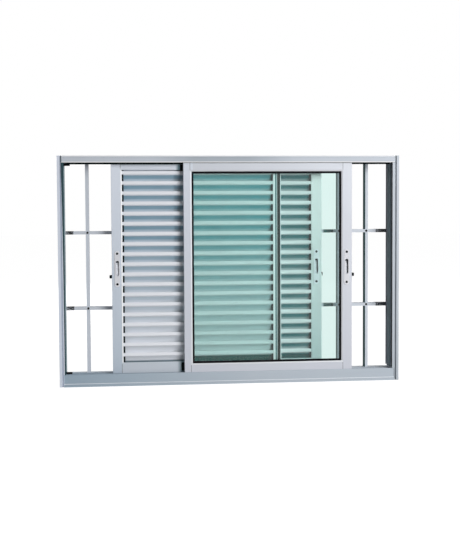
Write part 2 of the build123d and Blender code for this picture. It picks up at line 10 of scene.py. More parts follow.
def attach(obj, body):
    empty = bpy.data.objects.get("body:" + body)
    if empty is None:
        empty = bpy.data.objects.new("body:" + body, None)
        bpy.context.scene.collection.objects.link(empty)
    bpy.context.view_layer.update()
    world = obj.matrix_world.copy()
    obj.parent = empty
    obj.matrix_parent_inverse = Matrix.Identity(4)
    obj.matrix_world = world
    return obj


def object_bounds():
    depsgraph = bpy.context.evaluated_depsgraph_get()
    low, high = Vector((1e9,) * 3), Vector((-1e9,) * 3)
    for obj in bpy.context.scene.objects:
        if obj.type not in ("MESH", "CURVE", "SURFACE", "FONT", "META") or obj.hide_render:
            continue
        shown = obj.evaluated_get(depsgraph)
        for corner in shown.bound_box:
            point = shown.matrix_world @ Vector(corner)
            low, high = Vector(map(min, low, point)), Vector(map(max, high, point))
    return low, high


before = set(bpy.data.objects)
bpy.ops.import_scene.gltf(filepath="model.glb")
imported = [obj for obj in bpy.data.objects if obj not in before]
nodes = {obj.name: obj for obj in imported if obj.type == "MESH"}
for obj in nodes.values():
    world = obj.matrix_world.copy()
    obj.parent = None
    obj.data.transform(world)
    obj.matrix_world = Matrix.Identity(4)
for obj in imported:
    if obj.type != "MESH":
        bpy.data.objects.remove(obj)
cadBounds = [list(corner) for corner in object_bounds()]
roomFace = cadBounds[0][1]
scene = bpy.context.scene
print("stage: frame loaded,", len(nodes), "nodes")

# camera, read off the photograph by fitting the frame's corners, leaves and bars
cameraFit = {
    "footX": -0.516,          # metres right of the window's middle
    "height": 0.757,
    "distance": 4.490,        # from the room face of the frame
    "yaw": 5.92,              # degrees to the right
    "pitch": 3.00,            # degrees down
    "roll": -0.33,
    "focal": 1034.6,          # pixels of the 460 pixel wide picture
    "shiftX": 10.1,           # pixels
    "shiftY": -6.3,
    "pictureWidth": 460.0,
    "sensorWidth": 36.0,      # millimetres
    "reach": 100.0,           # metres, past the far edge of the floor
}


# turns the view axis by yaw about Z, by pitch about the camera's X and by roll about the view axis
def makeCamera(fit):
    data = bpy.data.cameras.new("viewCamera")
    data.sensor_fit = "HORIZONTAL"
    data.sensor_width = fit["sensorWidth"]
    data.lens = fit["sensorWidth"] * fit["focal"] / fit["pictureWidth"]
    data.shift_x = fit["shiftX"] / fit["pictureWidth"]
    data.shift_y = fit["shiftY"] / fit["pictureWidth"]
    data.clip_end = fit["reach"]
    camera = bpy.data.objects.new("viewCamera", data)
    turn = (Matrix.Rotation(-math.radians(fit["yaw"]), 4, "Z")
            @ Matrix.Rotation(math.radians(90 - fit["pitch"]), 4, "X")
            @ Matrix.Rotation(math.radians(fit["roll"]), 4, "Z"))
    place = Matrix.Translation((fit["footX"], roomFace - fit["distance"], fit["height"]))
    camera.matrix_world = place @ turn
    scene.collection.objects.link(camera)
    scene.camera = camera


makeCamera(cameraFit)
scene.view_settings.view_transform = "Standard"
print("stage: camera placed")


# a socket takes a number or colour as it is, and is linked to what another node puts out
def feed(tree, socket, value):
    if isinstance(value, bpy.types.NodeSocket):
        tree.links.new(value, socket)
    else:
        socket.default_value = value


# node of a kind: its settings, such as the operation, come first, then its named inputs are fed
def addNode(tree, kind, feeds=None, **settings):
    node = tree.nodes.new(kind)
    for name, value in settings.items():
        setattr(node, name, value)
    for name, value in (feeds or {}).items():
        feed(tree, node.inputs[name], value)
    return node


# one step of arithmetic on one or two values; clamp keeps what it gives between 0 and 1
def maths(tree, operation, first, second=0.0, clamp=False):
    node = addNode(tree, "ShaderNodeMath", operation=operation, use_clamp=clamp)
    feed(tree, node.inputs[0], first)
    feed(tree, node.inputs[1], second)
    return node.outputs[0]


# value carried in a straight line from one pair of limits to another, and kept within it
def ranged(tree, value, fromMin=0.0, fromMax=1.0, toMin=0.0, toMax=1.0):
    feeds = {"Value": value, "From Min": fromMin, "From Max": fromMax, "To Min": toMin, "To Max": toMax}
    return addNode(tree, "ShaderNodeMapRange", feeds).outputs["Result"]


# first colour times 1 - share, plus the second one times share
def mixColours(tree, share, first, second):
    mix = addNode(tree, "ShaderNodeMix", {"Factor": share, "A": first, "B": second}, data_type="RGBA")
    return mix.outputs["Result"]


# new material with the given sockets fed on its own shader
def newMaterial(name, feeds):
    material = bpy.data.materials.new(name)
    material.use_nodes = True
    shader = material.node_tree.nodes["Principled BSDF"]
    for socket, value in feeds.items():
        feed(material.node_tree, shader.inputs[socket], value)
    return material, material.node_tree, shader


# surface normal tilted by how steeply the height changes, for so many metres of height
def addBump(tree, shader, height, strength, metres):
    bump = addNode(tree, "ShaderNodeBump", {"Strength": strength, "Distance": metres, "Height": height})
    feed(tree, shader.inputs["Normal"], bump.outputs[0])


lightPlan = {
    "keyPower": 320.0,        # watts of the big soft lamp at the upper right
    "keySize": 3.4,
    "keyDistance": 6.2,       # from the middle of the window
    "keySwing": 34.0,         # degrees to the right of square on
    "keyRise": 14.0,          # degrees above level
    "lowPower": 0.75,         # watts of the low lamp that stands for light off the ground
    "lowSize": (1.5, 0.25),
    "lowPlace": (-0.15, -0.42, 0.012),
    "lowTilt": 145.0,         # degrees about X, from facing down
    "backPower": 150.0,       # watts of the lamp that lights the outer side
    "backSize": 3.0,
    "backPlace": (-0.9, 5.6, 2.6),
    "ambient": 0.08,          # what the world gives to matt surfaces
    "floorColour": 0.30,
    "floorRoughness": 0.9,
    "floorGlow": 0.97,        # what camera, gloss and glass see of the floor without any lamp
    "floorSize": 60.0,
    "white": (1.0, 1.0, 1.0, 1.0),
}


# 1 for a ray that the camera sends straight out, off gloss or through glass, and 0 once it has met a matt surface
def seenByCamera(tree):
    path = addNode(tree, "ShaderNodeLightPath").outputs
    seen = 0.0
    for kind in ("Is Camera Ray", "Is Glossy Ray", "Is Transmission Ray"):
        seen = maths(tree, "MAXIMUM", path[kind], seen)
    return maths(tree, "MULTIPLY", seen, maths(tree, "LESS_THAN", path["Diffuse Depth"], 0.5))


# world colour is white where the camera sees it, and a grey of the ambient strength to the rest
def makeWorld(plan):
    world = bpy.data.worlds.new("studio")
    scene.world = world
    world.use_nodes = True
    tree = world.node_tree
    tree.nodes.clear()
    strength = ranged(tree, seenByCamera(tree), toMin=plan["ambient"])
    background = addNode(tree, "ShaderNodeBackground", {"Color": plan["white"], "Strength": strength})
    addNode(tree, "ShaderNodeOutputWorld", {"Surface": background.outputs[0]})


# matt plane: what is seen of it is the glow plus its lit colour, so that a shadow stays; behind glass it is
# the glow alone, so that floor and world look alike there
def makeFloor(plan):
    half = plan["floorSize"] / 2
    mesh = bpy.data.meshes.new("studioFloor")
    mesh.from_pydata([(-half, -half, 0), (half, -half, 0), (half, half, 0), (-half, half, 0)], [], [(0, 1, 2, 3)])
    floor = bpy.data.objects.new("studioFloor", mesh)
    scene.collection.objects.link(floor)
    material, tree, shader = newMaterial("studioFloor", {
        "Roughness": plan["floorRoughness"], "Specular IOR Level": 0.0, "Emission Color": plan["white"]})
    behindGlass = addNode(tree, "ShaderNodeLightPath").outputs["Is Transmission Ray"]
    lit = maths(tree, "MULTIPLY", maths(tree, "SUBTRACT", 1.0, behindGlass), plan["floorColour"])
    feed(tree, shader.inputs["Base Color"], lit)
    glow = maths(tree, "MULTIPLY", seenByCamera(tree), plan["floorGlow"])
    feed(tree, shader.inputs["Emission Strength"], glow)
    mesh.materials.append(material)


# soft lamp with its back towards outward; the kinds of ray in unseen go past it
def makeLamp(name, power, size, place, outward, unseen):
    data = bpy.data.lights.new(name, "AREA")
    data.shape = "RECTANGLE"
    data.energy = power
    data.size, data.size_y = size
    light = bpy.data.objects.new(name, data)
    light.location = place
    light.rotation_euler = outward.to_track_quat("Z", "Y").to_euler()
    for kind in unseen:
        setattr(light, "visible_" + kind, False)
    scene.collection.objects.link(light)


# key lamp on a sphere round the middle of the window's room face, low lamp just above the floor that faces up and
# towards the window, back lamp behind it that faces its middle
def makeLamps(plan):
    swing, rise, tilt = (math.radians(plan[angle]) for angle in ("keySwing", "keyRise", "lowTilt"))
    middle = Vector((0.0, roomFace, cadBounds[1][2] / 2))
    outward = Vector((math.sin(swing) * math.cos(rise), -math.cos(swing) * math.cos(rise), math.sin(rise)))
    makeLamp("keyLight", plan["keyPower"], (plan["keySize"], plan["keySize"]), middle + outward * plan["keyDistance"],
             outward, ("transmission",))             # the pane lets its light by as a shadow already
    makeLamp("lowLight", plan["lowPower"], plan["lowSize"], plan["lowPlace"],
             Vector((0.0, -math.sin(tilt), math.cos(tilt))), ("camera", "glossy", "transmission"))
    back = Vector(plan["backPlace"])
    makeLamp("backLight", plan["backPower"], (plan["backSize"], plan["backSize"]), back,
             back - Vector((0.0, 0.0, cadBounds[1][2] / 2)), ("camera", "glossy", "transmission"))


makeWorld(lightPlan)
makeFloor(lightPlan)
makeLamps(lightPlan)
print("stage: light and floor")


# shader group with its inputs and outputs: a word names the kind of socket, and a number is the default of a float
def makeGroup(name, inputs, outputs):
    group = bpy.data.node_groups.new(name, "ShaderNodeTree")
    for label, start in inputs.items():
        kind = start if isinstance(start, str) else "Float"
        socket = group.interface.new_socket(label, in_out="INPUT", socket_type="NodeSocket" + kind)
        if kind != start:
            socket.default_value = start
    for label, kind in outputs.items():
        group.interface.new_socket(label, in_out="OUTPUT", socket_type="NodeSocket" + kind)
    return group, group.nodes.new("NodeGroupInput").outputs, group.nodes.new("NodeGroupOutput").inputs


# group: streaks along an extrusion. Noise stretched along the die's direction gives fine lines,
# a second one broad bands, a third soft clouds; each comes out between 0 and 1
def makeDieLines():
    group, into, out = makeGroup(
        "dieLines",
        {"Vector": "Vector", "Line Scale": 900.0, "Band Scale": 120.0, "Cloud Scale": 5.0, "Stretch": 0.012},
        {"Lines": "Float", "Bands": "Float", "Clouds": "Float"})
    squash = addNode(group, "ShaderNodeCombineXYZ", {"X": into["Stretch"], "Y": 1.0, "Z": 1.0})
    along = addNode(group, "ShaderNodeVectorMath", operation="MULTIPLY")     # the die runs along the first axis
    feed(group, along.inputs[0], into["Vector"])
    feed(group, along.inputs[1], squash.outputs[0])
    for name, scale, vector, detail in (("Lines", "Line Scale", along.outputs[0], 3.0),
                                        ("Bands", "Band Scale", along.outputs[0], 2.0),
                                        ("Clouds", "Cloud Scale", into["Vector"], 4.0)):
        noise = addNode(group, "ShaderNodeTexNoise", {"Detail": detail, "Vector": vector, "Scale": into[scale]})
        feed(group, out[name], noise.outputs["Fac"])
    return group


toneLook = {
    "dullShares": (0.3, 0.3, 0.4),   # of lines, bands and clouds in the dull tone
    "dullSwing": 0.25,               # how far from its middle that mix reaches the full tone
    "fineShare": 0.6,                # what the lines do to the roughness, beside the clouds
    "reliefShares": (0.6, 0.4),      # of lines and bands in the height
    "reliefStrength": 0.08,
    "relief": 0.0004,                # metres
    "gloss": 0.4,
}


# group: mixes a base colour towards a dull one by a sum of lines, bands and clouds, and gives roughness round a
# middle by clouds and lines, and a height by lines and bands
def makeSatinTone(look):
    group, into, out = makeGroup(
        "satinTone",
        {"Lines": "Float", "Bands": "Float", "Clouds": "Float", "Base": "Color", "Dull": "Color",
         "Roughness": 0.4, "Roughness Spread": 0.12, "Tone Spread": 0.5},
        {"Color": "Color", "Roughness": "Float", "Height": "Float"})

    def total(names, shares):
        terms = [maths(group, "MULTIPLY", into[name], share) for name, share in zip(names, shares)]
        return functools.reduce(lambda first, second: maths(group, "ADD", first, second), terms)

    def swing(name, reach):
        return maths(group, "MULTIPLY", maths(group, "SUBTRACT", into[name], 0.5), reach)

    centred = maths(group, "SUBTRACT", total(("Lines", "Bands", "Clouds"), look["dullShares"]), 0.5)
    amount = ranged(group, centred, -look["dullSwing"], look["dullSwing"])
    share = maths(group, "MULTIPLY", amount, into["Tone Spread"])
    feed(group, out["Color"], mixColours(group, share, into["Base"], into["Dull"]))
    fineSpread = maths(group, "MULTIPLY", into["Roughness Spread"], look["fineShare"])
    spread = maths(group, "ADD", swing("Clouds", into["Roughness Spread"]), swing("Lines", fineSpread))
    feed(group, out["Roughness"], maths(group, "ADD", into["Roughness"], spread))
    feed(group, out["Height"], total(("Lines", "Bands"), look["reliefShares"]))
    return group


underShadeLook = {
    "lean": (-0.12, -0.40),          # Z of the normal where the painted shade starts, and where it is full
    "patches": (1.12, 0.82),         # factor where clouds are 0, and where they are 1
    "setIn": 0.08,                   # part of a slat's pitch over which the painted shade sets in
}


# group: painted shade where a surface leans down, or on faces square to X for the bars' sides. The share
# is how far the normal points that way, taken between two limits, thinned by clouds and by height, so that it is
# lighter low down where more light comes up off the ground; on slats it starts where the fraction of (first top - Z) /
# pitch has passed a given part
def makePaintedUnderShade(look):
    group, into, out = makeGroup(
        "paintedUnderShade",
        {"Color": "Color", "Shade Colour": "Color", "Clouds": "Float", "Share": 0.9, "Thin Below": -10.0, "Full Above": -9.0,
         "Least": 1.0, "Sides": 0.0, "First Top": 0.0, "Pitch": 1.0, "Starts": -1.0},
        {"Color": "Color"})
    facing = addNode(group, "ShaderNodeNewGeometry").outputs["Normal"]
    normal = addNode(group, "ShaderNodeSeparateXYZ", {"Vector": facing}).outputs
    where = addNode(group, "ShaderNodeTexCoord").outputs["Object"]
    place = addNode(group, "ShaderNodeSeparateXYZ", {"Vector": where}).outputs
    onSides = maths(group, "MULTIPLY", maths(group, "ABSOLUTE", normal["X"]), into["Sides"])
    height = ranged(group, place["Z"], into["Thin Below"], into["Full Above"], into["Least"])
    patchy = ranged(group, into["Clouds"], 0.0, 1.0, *look["patches"])
    slats = maths(group, "DIVIDE", maths(group, "SUBTRACT", into["First Top"], place["Z"]), into["Pitch"])
    full = maths(group, "ADD", into["Starts"], look["setIn"])
    below = ranged(group, maths(group, "FRACT", slats), into["Starts"], full)
    share = maths(group, "MAXIMUM", ranged(group, normal["Z"], *look["lean"]), onSides)
    for factor in (below, height, patchy, into["Share"]):
        share = maths(group, "MULTIPLY", share, factor, clamp=True)
    feed(group, out["Color"], mixColours(group, share, into["Color"], into["Shade Colour"]))
    return group


# group: another colour in a band. It takes share times (across - far) / soft times (near - across) / soft, the
# last two kept between 0 and 1, where the far edge runs from foot to top value with the cube of the height
def makeEdgeBand():
    group, into, out = makeGroup(
        "edgeBand",
        {"Color": "Color", "Band": "Color", "Across": 0.0, "Height": 0.0, "Near": 0.0, "Far Top": -0.01,
         "Far Foot": -0.01, "Soft": 0.0004, "Share": 1.0},
        {"Color": "Color"})
    far = ranged(group, maths(group, "POWER", into["Height"], 3.0), 0.0, 1.0, into["Far Foot"], into["Far Top"])
    inside = [maths(group, "DIVIDE", maths(group, "SUBTRACT", more, less), into["Soft"], clamp=True)
              for more, less in ((into["Across"], far), (into["Near"], into["Across"]))]
    share = maths(group, "MULTIPLY", maths(group, "MULTIPLY", *inside), into["Share"])
    feed(group, out["Color"], mixColours(group, share, into["Color"], into["Band"]))
    return group


dieLines = makeDieLines()
edgeBand = makeEdgeBand()
satinTone = makeSatinTone(toneLook)
paintedUnderShade = makePaintedUnderShade(underShadeLook)

# satin anodised aluminium, in a tone for each family of profiles; these tones differ by painted light and shade,
# lighter where more light falls and darker where less. A band is given by the axis it lies
# across, its colour, near edge, far edge at the top and at the foot, and softness, in metres; then, where they
# are needed, its share and the X that it starts from. Most bands are painted highlights, shadows and shade. "bands" lie
# on the metal, the painted shade's own bands on the painted shade, and "cast" on both. The painted shade's share comes
# first, then the heights where it is thin and full, and the least of it. "slats" is the first slat's top, the pitch,
# and the part of it where the painted shade starts
satinFinish = {
    "frame": {"base": (0.46, 0.50, 0.55), "dull": (0.41, 0.45, 0.50), "metallic": 0.08, "roughness": 0.44},
    "leftJamb": {
        "base": (0.76, 0.82, 0.92), "dull": (0.68, 0.73, 0.84), "metallic": 0.08, "roughness": 0.44,
        "bands": [("X", (0.004, 0.034, 0.046), -0.7190, -0.7338, -0.7276, 0.0004)]},
    # frame head: painted shade across its middle, painted highlights along its top and its lower lip, and painted shade
    # on its underside
    "head": {
        "base": (0.68, 0.73, 0.80), "dull": (0.60, 0.65, 0.72), "metallic": 0.0, "roughness": 0.5, "gloss": 0.05,
        "underShade": (0.01, 0.016, 0.02), "underShadeShare": (1.0,),
        "bands": [("X", (0.50, 0.55, 0.61), 0.28, -0.36, -0.36, 0.20),
                  ("Z", (0.96, 0.97, 1.0), 1.2, 0.9955, 0.9955, 0.001),
                  ("Z", (0.98, 0.99, 1.0), 0.9742, 0.9692, 0.9692, 0.0006)]},
    # sill: painted shade darker towards its left, and a painted highlight line just above its foot
    "sill": {
        "base": (0.50, 0.555, 0.61), "dull": (0.41, 0.47, 0.55), "metallic": 0.08, "roughness": 0.42,
        "bands": [("X", (0.33, 0.43, 0.52), 0.10, -9.0, -9.0, 0.9),
                  ("Z", (0.80, 0.84, 0.89), 0.0150, 0.0118, 0.0118, 0.0006)]},
    # glass leaf: painted light on its left stile, and painted shade darker towards the bottom
    "leaf": {
        "base": (0.65, 0.68, 0.735), "dull": (0.58, 0.61, 0.67), "metallic": 0.08, "roughness": 0.42,
        "bands": [("X", (0.70, 0.75, 0.83), -0.165, -9.0, -9.0, 0.0005),
                  ("Z", (0.60, 0.62, 0.69), 1.1, -9.0, -9.0, 1.25)]},
    # glass leaf's lock stile: painted light on its inner side seen through the pane, and painted shade darker towards
    # the bottom
    "lockLeaf": {
        "base": (0.65, 0.68, 0.735), "dull": (0.58, 0.61, 0.67), "metallic": 0.08, "roughness": 0.42,
        "bands": [("X", (0.95, 1.0, 1.0), 0.4917, -9.0, -9.0, 0.0003),
                  ("Z", (0.60, 0.62, 0.69), 1.1, -9.0, -9.0, 1.25)]},
    # left shutter's bottom rail: painted shadow of the glass leaf's left stile
    "leftFoot": {
        "base": (0.60, 0.65, 0.715), "dull": (0.53, 0.58, 0.645), "metallic": 0.08, "roughness": 0.42,
        "bands": [("X", (0.22, 0.33, 0.38), -0.150, -0.236, -0.236, 0.018)]},
    # left shutter's top rail: painted shadow of the glass leaf's left stile, and painted shadow of the frame head along
    # its top
    "leftHead": {
        "base": (0.74, 0.79, 0.87), "dull": (0.66, 0.71, 0.79), "metallic": 0.08, "roughness": 0.42,
        "bands": [("X", (0.14, 0.25, 0.30), -0.150, -0.240, -0.240, 0.014),
                  ("Z", (0.45, 0.54, 0.60), 1.2, 0.957, 0.957, 0.010)]},
    # left shutter's lock stile: painted shade darker towards the bottom, and a painted highlight along its inner lip
    "leftLeaf": {
        "base": (0.81, 0.86, 0.95), "dull": (0.72, 0.77, 0.87), "metallic": 0.08, "roughness": 0.42,
        "bands": [("Z", (0.48, 0.56, 0.65), 1.0, -9.0, -9.0, 1.05),
                  ("X", (1.0, 1.0, 1.0), -0.4736, -0.4785, -0.4785, 0.0005)]},
    # left shutter's meeting stile: painted light in its tone, painted shade in its groove, and a painted shadow line
    # towards its edge
    "leftMeeting": {
        "base": (0.88, 0.90, 0.93), "dull": (0.83, 0.86, 0.89), "metallic": 0.08, "roughness": 0.42,
        "bands": [("X", (0.05, 0.17, 0.18), 0.2066, 0.1996, 0.1996, 0.0005),
                  ("X", (0.005, 0.012, 0.012), 0.2172, 0.2090, 0.2090, 0.0005)]},
    # right shutter: painted light in its lighter tone, making up for light held back by the pane, and painted shade
    # darker towards the bottom
    "rightLeaf": {
        "base": (0.96, 0.94, 0.94), "dull": (0.88, 0.87, 0.87), "metallic": 0.04, "roughness": 0.42,
        "bands": [("Z", (0.47, 0.56, 0.58), 1.0, -9.0, -9.0, 1.05)]},
    "bead": {"base": (0.74, 0.76, 0.80), "dull": (0.68, 0.70, 0.75), "metallic": 0.06, "roughness": 0.38},
    # left shutter's slats: painted shade on their undersides, lighter low down; behind the pane painted green-tinted
    # shade and light; a painted shadow of the glass leaf's left stile; and painted shadows at the foot of the slats
    "leftSlat": {
        "base": (0.93, 0.95, 1.0), "dull": (0.86, 0.89, 0.96), "metallic": 0.04, "roughness": 0.38,
        "underShade": (0.19, 0.35, 0.46), "underShadeShare": (0.95, 0.12, 0.65, 0.10), "slats": (0.9351, 0.04421, 0.37),
        "underShadeBands": [("X", (0.05, 0.345, 0.45), 9.0, -0.176, -0.176, 0.001),
                      ("X", (0.11, 0.24, 0.33), -0.190, -0.250, -0.250, 0.008)],
        "cast": [("X", (0.10, 0.37, 0.29), 9.0, -0.176, -0.176, 0.001, 0.30),
                 ("Z", (0.06, 0.13, 0.16), 0.107, -9.0, -9.0, 0.006, 0.85),
                 ("Z", (0.0, 0.09, 0.08), 0.1210, -9.0, -9.0, 0.002, 1.0, -0.176)]},
    # right shutter's slats: painted shade on their undersides, and a painted shadow at the foot of the slats
    "rightSlat": {
        "base": (0.81, 0.82, 0.84), "dull": (0.74, 0.76, 0.78), "metallic": 0.04, "roughness": 0.38,
        "underShade": (0.0, 0.15, 0.17), "underShadeShare": (0.98,), "slats": (0.9351, 0.04421, 0.37),
        "cast": [("Z", (0.0, 0.09, 0.09), 0.117, -9.0, -9.0, 0.003, 0.97)]},
    # grille rails: a painted shadow of the glass leaf's lock stile
    "grille": {
        "base": (0.64, 0.68, 0.74), "dull": (0.58, 0.62, 0.69), "metallic": 0.04, "roughness": 0.45, "gloss": 0.2,
        "bands": [("X", (0.02, 0.10, 0.10), 0.474, 0.426, 0.426, 0.004)]},
    # grille bars: painted shade on their sides, carried onto the left edge of the right outer bar's face
    "bars": {
        "base": (0.70, 0.75, 0.82), "dull": (0.64, 0.69, 0.76), "metallic": 0.0, "roughness": 0.5, "gloss": 0.05,
        "underShade": (0.018, 0.058, 0.062), "underShadeShare": (0.97,), "sides": 1.0,
        "bands": [("X", (0.01, 0.05, 0.055), 0.6210, 0.600, 0.600, 0.0004)]},
}


# lays one edgeBand after another over a colour
def banded(tree, places, colour, bands):
    for across, bandColour, *edges in bands:
        feeds = {"Color": colour, "Band": (*bandColour, 1.0), "Across": places[across], "Height": places["Z"]}
        feeds.update(zip(("Near", "Far Top", "Far Foot", "Soft", "Share"), edges))
        if len(edges) > 5:                               # the band holds only right of its last value
            feeds["Share"] = maths(tree, "GREATER_THAN", places["X"], edges[5])
        colour = addNode(tree, "ShaderNodeGroup", feeds, node_tree=edgeBand).outputs["Color"]
    return colour


# dieLines on Object coordinates turned so that the die's axis comes first, through satinTone and the bands, with
# the painted shade where the finish has one, into the shader
def makeSatin(name, finish, axis):
    material, tree, shader = newMaterial(name, {
        "Metallic": finish["metallic"], "Specular IOR Level": finish.get("gloss", toneLook["gloss"])})
    where = addNode(tree, "ShaderNodeTexCoord").outputs["Object"]
    places = addNode(tree, "ShaderNodeSeparateXYZ", {"Vector": where}).outputs
    quarter = math.radians(90) if axis == "Z" else 0.0
    turn = addNode(tree, "ShaderNodeMapping", {"Vector": where, "Rotation": (0.0, quarter, 0.0)})
    lines = addNode(tree, "ShaderNodeGroup", {"Vector": turn.outputs[0]}, node_tree=dieLines).outputs
    feeds = {socket: lines[socket] for socket in ("Lines", "Bands", "Clouds")}
    feeds.update({"Base": (*finish["base"], 1.0), "Dull": (*finish["dull"], 1.0), "Roughness": finish["roughness"]})
    tone = addNode(tree, "ShaderNodeGroup", feeds, node_tree=satinTone).outputs
    colour = banded(tree, places, tone["Color"], finish.get("bands", ()))
    if "underShade" in finish:
        feeds = {"Color": colour, "Clouds": lines["Clouds"], "Sides": finish.get("sides", 0.0),
                 "Shade Colour": banded(tree, places, (*finish["underShade"], 1.0), finish.get("underShadeBands", ()))}
        feeds.update(zip(("Share", "Thin Below", "Full Above", "Least"), finish["underShadeShare"]))
        feeds.update(zip(("First Top", "Pitch", "Starts"), finish.get("slats", ())))
        colour = addNode(tree, "ShaderNodeGroup", feeds, node_tree=paintedUnderShade).outputs["Color"]
    # the cast is painted light and shadow: the green that light through the pane would throw on what is behind it, and
    # the painted shadows at the foot of the slats
    feed(tree, shader.inputs["Base Color"], banded(tree, places, colour, finish.get("cast", ())))
    feed(tree, shader.inputs["Roughness"], tone["Roughness"])
    addBump(tree, shader, tone["Height"], toneLook["reliefStrength"], toneLook["relief"])
    return material


# satin material of one kind with its die lines along an axis, made the first time that a piece asks for it
@functools.cache
def satin(kind, axis):
    return makeSatin("satin" + kind[0].upper() + kind[1:] + axis, satinFinish[kind], axis)


glassLook = {
    "colour": (0.745, 0.91, 0.88),
    "waveTint": (0.95, 0.99, 0.98),      # what the crest of a wave makes of it
    "shade": 0.72,                       # share of a lamp's light that each face lets by
    "gloss": 0.12,
    "refraction": 1.45,
    "waveScale": 3.0,
    "waviness": 0.015,
    "waveHeight": 0.002,
}


# tinted pane: what lies behind is seen through it in its own colour, with a faint roller wave in the surface
def makeGlass(look):
    material, tree, shader = newMaterial("greenFloatGlass", {
        "Roughness": 0.0, "Transmission Weight": 1.0, "Specular IOR Level": look["gloss"], "IOR": look["refraction"]})
    where = addNode(tree, "ShaderNodeTexCoord").outputs["Object"]
    noise = addNode(tree, "ShaderNodeTexNoise", {"Scale": look["waveScale"], "Detail": 2.0, "Vector": where})
    wave = noise.outputs["Fac"]
    crest = [part * tint for part, tint in zip(look["colour"], look["waveTint"])]
    feed(tree, shader.inputs["Base Color"], mixColours(tree, wave, (*look["colour"], 1.0), (*crest, 1.0)))
    shadow = addNode(tree, "ShaderNodeLightPath").outputs["Is Shadow Ray"]
    feed(tree, shader.inputs["Alpha"], ranged(tree, shadow, toMin=1.0, toMax=1.0 - look["shade"]))
    addBump(tree, shader, wave, look["waviness"], look["waveHeight"])
    return material


# plastics, rubber, pile and die castings: two tones, roughness, and how fine the grain is
mattFinish = {
    "blackRubber": ((0.004, 0.004, 0.006), (0.012, 0.012, 0.014), 0.75, 900.0),
    "blackNylon": ((0.004, 0.007, 0.008), (0.010, 0.014, 0.016), 0.5, 500.0),
    "blackPile": ((0.002, 0.006, 0.007), (0.012, 0.020, 0.022), 0.9, 2500.0),
    "greyPile": ((0.46, 0.60, 0.64), (0.54, 0.68, 0.72), 0.9, 2500.0),
    "darkSteel": ((0.008, 0.008, 0.010), (0.022, 0.022, 0.025), 0.45, 1800.0),
    "castSilver": ((0.80, 0.81, 0.86), (0.88, 0.89, 0.93), 0.38, 1400.0),
}
mattGloss, mattSpread, mattGrain = 0.06, 0.1, (0.25, 0.0003)     # the grain's strength and height


# matt surface: fine speckle between the two tones, which moves the roughness too, with a grainy bump
def makeMatt(name, base, light, roughness, grain):
    material, tree, shader = newMaterial(name, {"Specular IOR Level": mattGloss})
    where = addNode(tree, "ShaderNodeTexCoord").outputs["Object"]
    speckle = addNode(tree, "ShaderNodeTexNoise", {"Scale": grain, "Detail": 5.0, "Vector": where}).outputs["Fac"]
    feed(tree, shader.inputs["Base Color"], mixColours(tree, speckle, (*base, 1.0), (*light, 1.0)))
    rough = ranged(tree, speckle, toMin=roughness - mattSpread, toMax=roughness + mattSpread)
    feed(tree, shader.inputs["Roughness"], rough)
    addBump(tree, shader, speckle, *mattGrain)
    return material


blackRubber, blackNylon, blackPile, greyPile, darkSteel, castSilver = (
    makeMatt(name, *look) for name, look in mattFinish.items())

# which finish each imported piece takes; the first word that fits its name wins
finishPlan = [
    ("left_shutter_slats", satin("leftSlat", "X")),
    ("left_shutter_lock_stile", satin("leftLeaf", "Z")),
    ("left_shutter_meeting_stile", satin("leftMeeting", "Z")),
    ("left_shutter_top_rail", satin("leftHead", "X")),
    ("left_shutter_bottom_rail", satin("leftFoot", "X")),
    ("right_shutter_slats", satin("rightSlat", "X")),
    ("right_shutter_lock_stile", satin("rightLeaf", "Z")),
    ("right_shutter_meeting_stile", satin("rightLeaf", "Z")),
    ("right_shutter_top_rail", satin("rightLeaf", "X")),
    ("right_shutter_bottom_rail", satin("rightLeaf", "X")),
    ("glass_leaf_lock_stile", satin("lockLeaf", "Z")),
    ("pane", makeGlass(glassLook)),
    ("gasket", blackRubber),
    ("end_stops", blackRubber),
    ("rollers", blackNylon),
    ("guides", blackNylon),
    ("catch", blackNylon),
    ("latch", castSilver),
    ("beads", satin("bead", "X")),
    ("frame_head", satin("head", "X")),
    ("frame_sill", satin("sill", "X")),
    ("frame_jamb_left", satin("leftJamb", "Z")),
    ("frame_jamb", satin("frame", "Z")),
    ("grille_bars", satin("bars", "Z")),
    ("grille_rail", satin("grille", "X")),
    ("stile", satin("leaf", "Z")),
    ("rail", satin("leaf", "X")),
]
for name, piece in nodes.items():
    finish = next(material for word, material in finishPlan if word in name)
    piece.data.materials.clear()
    piece.data.materials.append(finish)
print("stage: finishes made and given to the packed pieces")

leafPlan = {
    "depths": np.array((0.008, 0.037, 0.066)),       # room side of each leaf, from the room face of the frame
    "thickness": 0.022,
    "sillTop": 0.054,
    "headUnderside": 0.969,
    "latchHeight": 0.509,
    "latchX": (0.5155, -0.4965, 0.3905),             # glass leaf, left shutter, right shutter
}


# quads between neighbours of a grid of rows and columns, the last column joined to the first
def ringQuads(rows, columns):
    row, column = np.meshgrid(np.arange(rows - 1), np.arange(columns), indexing="ij")
    after = (column + 1) % columns
    corners = (row * columns + column, row * columns + after, (row + 1) * columns + after, (row + 1) * columns + column)
    return np.stack(corners, axis=-1).reshape(-1, 4)


# the same shape set at every place: each place is added to all points, and the faces are counted on
def repeated(points, quads, places):
    places = np.asarray(places, float).reshape(-1, 1, 3)
    steps = np.arange(len(places)).reshape(-1, 1, 1) * len(points)
    return (points[None] + places).reshape(-1, 3), (quads[None] + steps).reshape(-1, 4)


